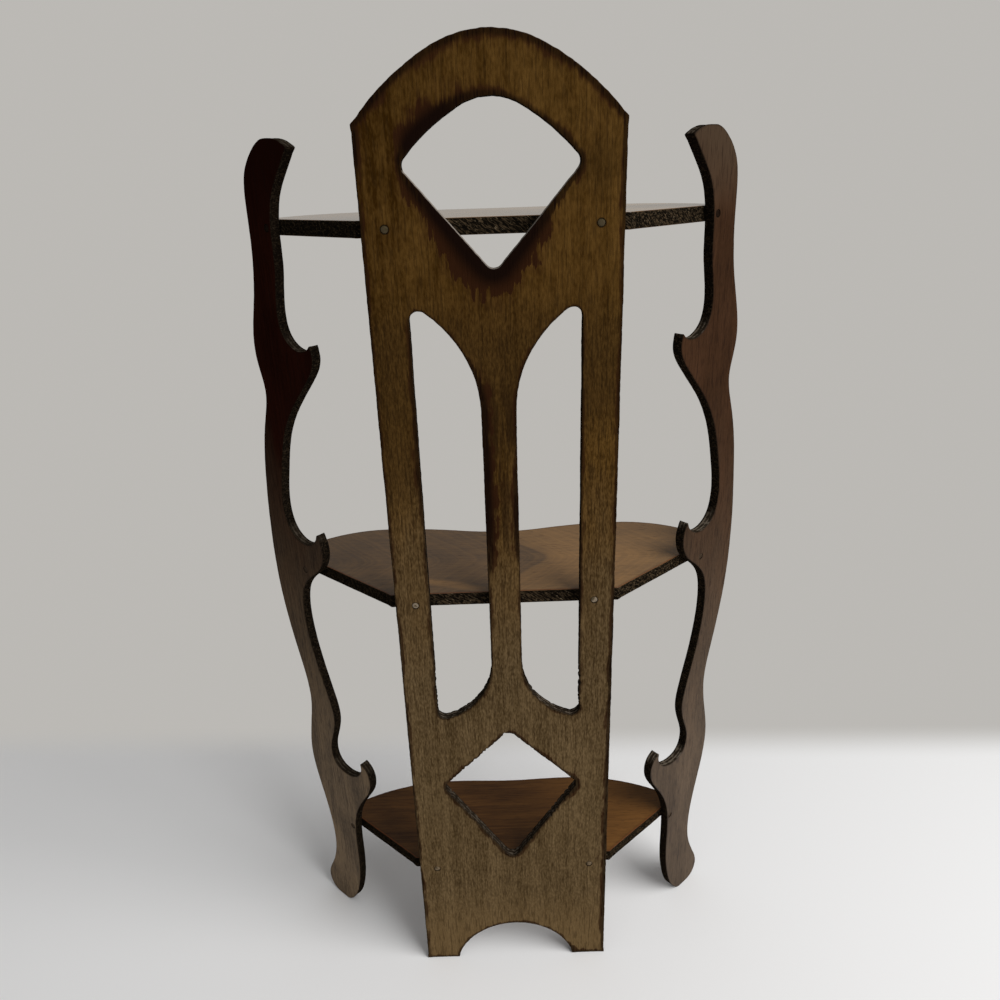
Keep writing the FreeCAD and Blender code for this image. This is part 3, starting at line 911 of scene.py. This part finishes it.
def panel_bleed(line, middle):
    """How far the stain crept in from a cut, in mm."""
    side, height = line.T
    if middle[1] > UPPER_OPENING:
        return np.where(height > UPPER_ARCH, read_off(ARCH_BLED, side), read_off(SLANT_BLED, side))
    if is_window(middle):
        left = middle[0] < 0
        by_splat = read_off(LEFT_OF_SPLAT if left else RIGHT_OF_SPLAT, height)
        by_stile = read_off(LEFT_STILE, height) if left else RIGHT_STILE
        return np.where(abs(side) < SPLAT_SIDE, by_splat, by_stile)
    lower_right = (side > LOWER_RIGHT[0]) & (height < LOWER_RIGHT[1])
    rim_bled = RIM_LEAST + RIM_MORE * ripple(line, RIM_WAVE, RIM_SEED)
    return rim_bled + LOWER_RIGHT_BLED * lower_right + read_off(TOP_BLED, height)


print("the longest bleed in the tables is", max(reach for _, reach in SLANT_BLED), "mm")

# %% Where its cuts tore, and the panel itself
POINTED_OPENING, POINTED_WIDTH = (80, 160), 80  # mm, heights round its middle, and more than its width
TOOTH_SPAN, TOOTH_NOISE_SEED = 1.5, 5
TOOTH_LIMIT, TOOTH_GAIN = 0.48, 2.6
TORN_MOST, TORN_LESS, TORN_LEAST = 1.2, 0.4, 0.12
WINDOW_TORN = (188, 0.9), (200, TORN_LEAST)
STEADY_UP_TO = 4  # mm above the floor


def panel_tear(line, middle):
    """How far the wall-side arris broke away, in mm."""
    side, height = line.T
    teeth = np.clip(ripple(line, TOOTH_SPAN, TOOTH_NOISE_SEED) - TOOTH_LIMIT, 0, 1) * TOOTH_GAIN
    low, high = POINTED_OPENING
    if low < middle[1] < high and np.ptp(side) < POINTED_WIDTH:
        return teeth * np.where((side < 0) == (height > middle[1]), TORN_MOST, TORN_LESS)
    if is_window(middle):
        return teeth * read_off(WINDOW_TORN, height)
    return teeth * TORN_LEAST


def on_the_floor(line):
    """No waver where the feet stand."""
    return np.clip(line[:, 1] / STEADY_UP_TO, 0, 1)


panel, panel_nail_places = sawn_board(
    "panel_board", "back_panel", (0, 1, 0), panel_stain, spacing=0.6, chatter=0.22, steady=on_the_floor,
    bleed=panel_bleed, tear=panel_tear)

# %% [markdown]
# ## The shelves
# Three shelves lie between the panel and the side boards. Their fronts are bowed, and their back
# corners are cut off at an angle where the side boards meet them. Their edges were never sanded, so
# they get as much chatter as the panel's, and the finish of an edge left from the saw.

# %% Three shelves
for level, varnish in shelf_varnish.items():
    shelf, _ = sawn_board(
        f"{level}_shelf_board", f"{level}_shelf", (0, 0, 1), varnish, waver=0.2, chatter=0.22)

# %% [markdown]
# ## The side boards
# The two side boards splay out from behind the panel, each cut in a string of scrolls. They are the
# same board turned over, but each gets its own noise, because each was sawn on its own. Each also gets
# its own colours: the right board's darker stain is partly painted shade, the left board's paler one
# partly painted light.

# %% Two side boards
SIDE_OUT = (0.6561, 0.7547)
side_nail_places = []
for hand, sign, varnish in (("right", 1, right_varnish_painted_shade), ("left", -1, left_varnish_painted_light)):
    out = Vector((sign * SIDE_OUT[0], SIDE_OUT[1], 0))
    side, places = sawn_board(
        f"{hand}_side_board", f"{hand}_side", out, varnish, waver=0.35, steady=on_the_floor)
    side_nail_places += [(place, out) for place in places]

# %% [markdown]
# ## The nails
# Small wire nails hold the boards, and only their heads show: dull grey discs, a little domed, driven
# flush. A cylinder would look like a plug, so each head is turned from a profile, as on a lathe, and
# dented a little by the hammer. The dark ring round a head is the real gap between it and its pocket.

# %% Steel of the nails
DENT_BUMP = 0.08  # mm
UPPER_NAILS, LOWER_NAILS = (0.30, 0.36), (0.16, 0.10)  # m above the floor


def nail_finish(name, *, bright, dull, upper, lower, shine):
    """bright and dull are the steel's colours, upper and lower the top and bottom nails', shine its metal."""
    start, finish, where = new_finish(name)
    dents = grain(where, (0.9, 0.9, 0.9), 3)
    tarnish = rise(grain(where, (1.6, 1.6, 1.6), 3, 4), 0.45, 0.65)
    height, = split(where, "Z")
    colour = blend(rise(height, *UPPER_NAILS) * 0.9, blend(tarnish, bright, dull), upper)
    colour = blend(rise(height, *LOWER_NAILS) * 0.7, colour, blend(tarnish, lower, dull))
    principled(start, colour, roughness=0.48 + 0.25 * tarnish, height=dents, depth=DENT_BUMP,
               metal=shine - 0.5 * shine * tarnish if shine else 0.0)
    return finish


bare_steel = nail_finish(
    "bare_nail_steel", bright=(0.215, 0.172, 0.125), dull=(0.08, 0.060, 0.035),
    upper=(0.042, 0.032, 0.016), lower=(0.17, 0.115, 0.062), shine=0.3)
stained_steel = nail_finish(
    "stained_nail_steel", bright=(0.048, 0.033, 0.022), dull=(0.018, 0.011, 0.007),
    upper=(0.006, 0.003, 0.002), lower=(0.060, 0.044, 0.030), shine=0.0)
print("nail finishes:", bare_steel.name, "and", stained_steel.name)

# %% Turned nails
HEAD_PROFILE = ((0.35, 0.04), (0.8, 0.07), (1.15, 0.12), (1.42, 0.2), (1.54, 0.38), (1.52, 0.78), (0.8, 0.95),
                (0.8, 5.0), (0.8, 13.0), (0.3, 14.5))  # mm, radius and depth
HEAD_POINTS = 24
HEAD_TOP, NAIL_TIP = 0.03, 15  # mm below the board's face
DENT, DENT_SEED = 0.05, 3.7


def turned_rows(place, out, number):
    """The vertices of one nail, from the middle of its head round its profile to its tip."""
    across = Vector((0, 0, 1)).cross(out).normalized()
    up = out.cross(across)
    spots = [place - out * HEAD_TOP / METRE]
    for radius, down in HEAD_PROFILE:
        for k in range(HEAD_POINTS):
            turn = 2 * math.pi * k / HEAD_POINTS
            x, y = math.cos(turn), math.sin(turn)
            dent = DENT * noise.noise(Vector((x * radius, y * radius, number * DENT_SEED)))
            spots.append(place + ((across * x + up * y) * radius - out * (down + abs(dent))) / METRE)
    return spots + [place - out * NAIL_TIP / METRE]


def nail_set(name, node, places, finish):
    """One piece with a nail at each place: a point on a board's face and the direction out of it."""
    spots, faces = [], []
    for number, (place, out) in enumerate(places):
        start = len(spots)
        spots += turned_rows(place, out, number)
        first, last = start + 1, len(spots) - 1
        rows = [first + row * HEAD_POINTS for row in range(len(HEAD_PROFILE))]
        for k in range(HEAD_POINTS):
            after = (k + 1) % HEAD_POINTS
            faces.append((start, first + k, first + after))
            faces += [(a + k, b + k, b + after, a + after) for a, b in zip(rows, rows[1:])]
            faces.append((rows[-1] + k, last, rows[-1] + after))
    piece = mesh_object(name, spots, faces, finish)
    piece.data.polygons.foreach_set("use_smooth", [True] * len(faces))
    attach(piece, "root")
    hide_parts(node)
    print(name, "holds", len(places), "nails")


wall_ward = Vector((0, 1, 0))
nail_set("panel_nail_heads", "panel_nails", [(place, wall_ward) for place in panel_nail_places], bare_steel)
nail_set("side_nail_heads", "side_nails", side_nail_places, stained_steel)

# %% [markdown]
# ## Floor, light and camera
# The shelf stands on a plain pale floor that turns into a plain grey behind it. One large soft lamp
# hangs over it, and weak light comes from all round. The camera was fitted to the panel's edges in
# the photo: it is close, looks a little down, and is tilted by about two degrees.

# %% Floor
PALE, GREY = (0.845, 0.84, 0.835), (0.50, 0.485, 0.46)
GREY_SLANT = 0.045
GREY_BEHIND, FAR_OFF = (-0.118, -0.160), (0.34, 0.75)  # m, where pale turns into grey
FLOOR_HALF, FLOOR_DROP = 3.0, 0.0002  # m


def seen_rays(start):
    """1 for the rays that show a background: the camera's, mirrored ones and those through glass."""
    camera, mirrored, through = (
        start.node("LightPath", out=f"Is {kind} Ray") for kind in ("Camera", "Glossy", "Transmission"))
    return camera.math("MAXIMUM", mirrored.math("MAXIMUM", through))


def pale_floor(name):
    """A pale floor that turns grey behind the shelf and far from it."""
    start, finish, where = new_finish(name)
    x, y = split(where, "XY")
    away = where.node("VectorMath", {0: where}, "Value", operation="LENGTH")
    behind = rise(y + GREY_SLANT * x, *GREY_BEHIND)
    beyond = behind.math("MAXIMUM", rise(away, *FAR_OFF))
    pale = start.node("BsdfPrincipled", {
        "Base Color": (*PALE, 1), "Roughness": 0.7, "Specular IOR Level": 0.2})
    grey = start.node("Emission", {"Color": (*GREY, 1), "Strength": 1.0})
    both = start.node("MixShader", {0: beyond * seen_rays(start), 1: pale, 2: grey})
    start.node("OutputMaterial", {"Surface": both})
    return finish


corners = [(x * FLOOR_HALF, y * FLOOR_HALF, -FLOOR_DROP) for x, y in ((-1, -1), (1, -1), (1, 1), (-1, 1))]
floor = mesh_object("floor", corners, [(0, 1, 2, 3)], pale_floor("pale_floor"))
print("floor is", 2 * FLOOR_HALF, "m wide")

# %% Light
AIR_COLOUR = (0.30, 0.30, 0.30)
LAMP_SIZE, LAMP_WATTS = 1.2, 27.0
LAMP_PLACE, LAMP_AIM = Vector((-1.0, 0.7, 1.1)), Vector((0, 0, 0.2))
world = bpy.data.worlds.new("studio_air")
world.use_nodes = True
world.node_tree.nodes.clear()
air = Value(world.node_tree)
air_colour = blend(seen_rays(air), AIR_COLOUR, GREY)
background = air.node("Background", {"Color": air_colour, "Strength": 1.0})
air.node("OutputWorld", {"Surface": background})
scene.world = world

lamp_data = bpy.data.lights.new("softbox", "AREA")
lamp_data.size, lamp_data.energy = LAMP_SIZE, LAMP_WATTS
lamp = linked("softbox", lamp_data)
lamp.location = LAMP_PLACE
lamp.rotation_mode = "QUATERNION"
lamp.rotation_quaternion = (LAMP_AIM - LAMP_PLACE).to_track_quat("-Z", "Y")
print("one softbox of", LAMP_WATTS, "W")

# %% Camera
PHOTO_WIDTH, FOCAL_PIXELS, SENSOR = 1000, 780, 36
PITCH, YAW, ROLL = math.radians(22.84), math.radians(-0.13), math.radians(1.87)
CAMERA_PLACE = (0.0014, 0.3488, 0.411)
camera = linked("camera", bpy.data.cameras.new("camera"))
camera.data.sensor_width = SENSOR
camera.data.lens = SENSOR * FOCAL_PIXELS / PHOTO_WIDTH
camera.matrix_world = (Matrix.Translation(CAMERA_PLACE) @ Matrix.Rotation(math.pi + YAW, 4, "Z")
                       @ Matrix.Rotation(math.pi / 2 - PITCH, 4, "X") @ Matrix.Rotation(-ROLL, 4, "Z"))
scene.camera = camera
scene.view_settings.view_transform = "Standard"
print("lens", round(camera.data.lens, 2), "mm")
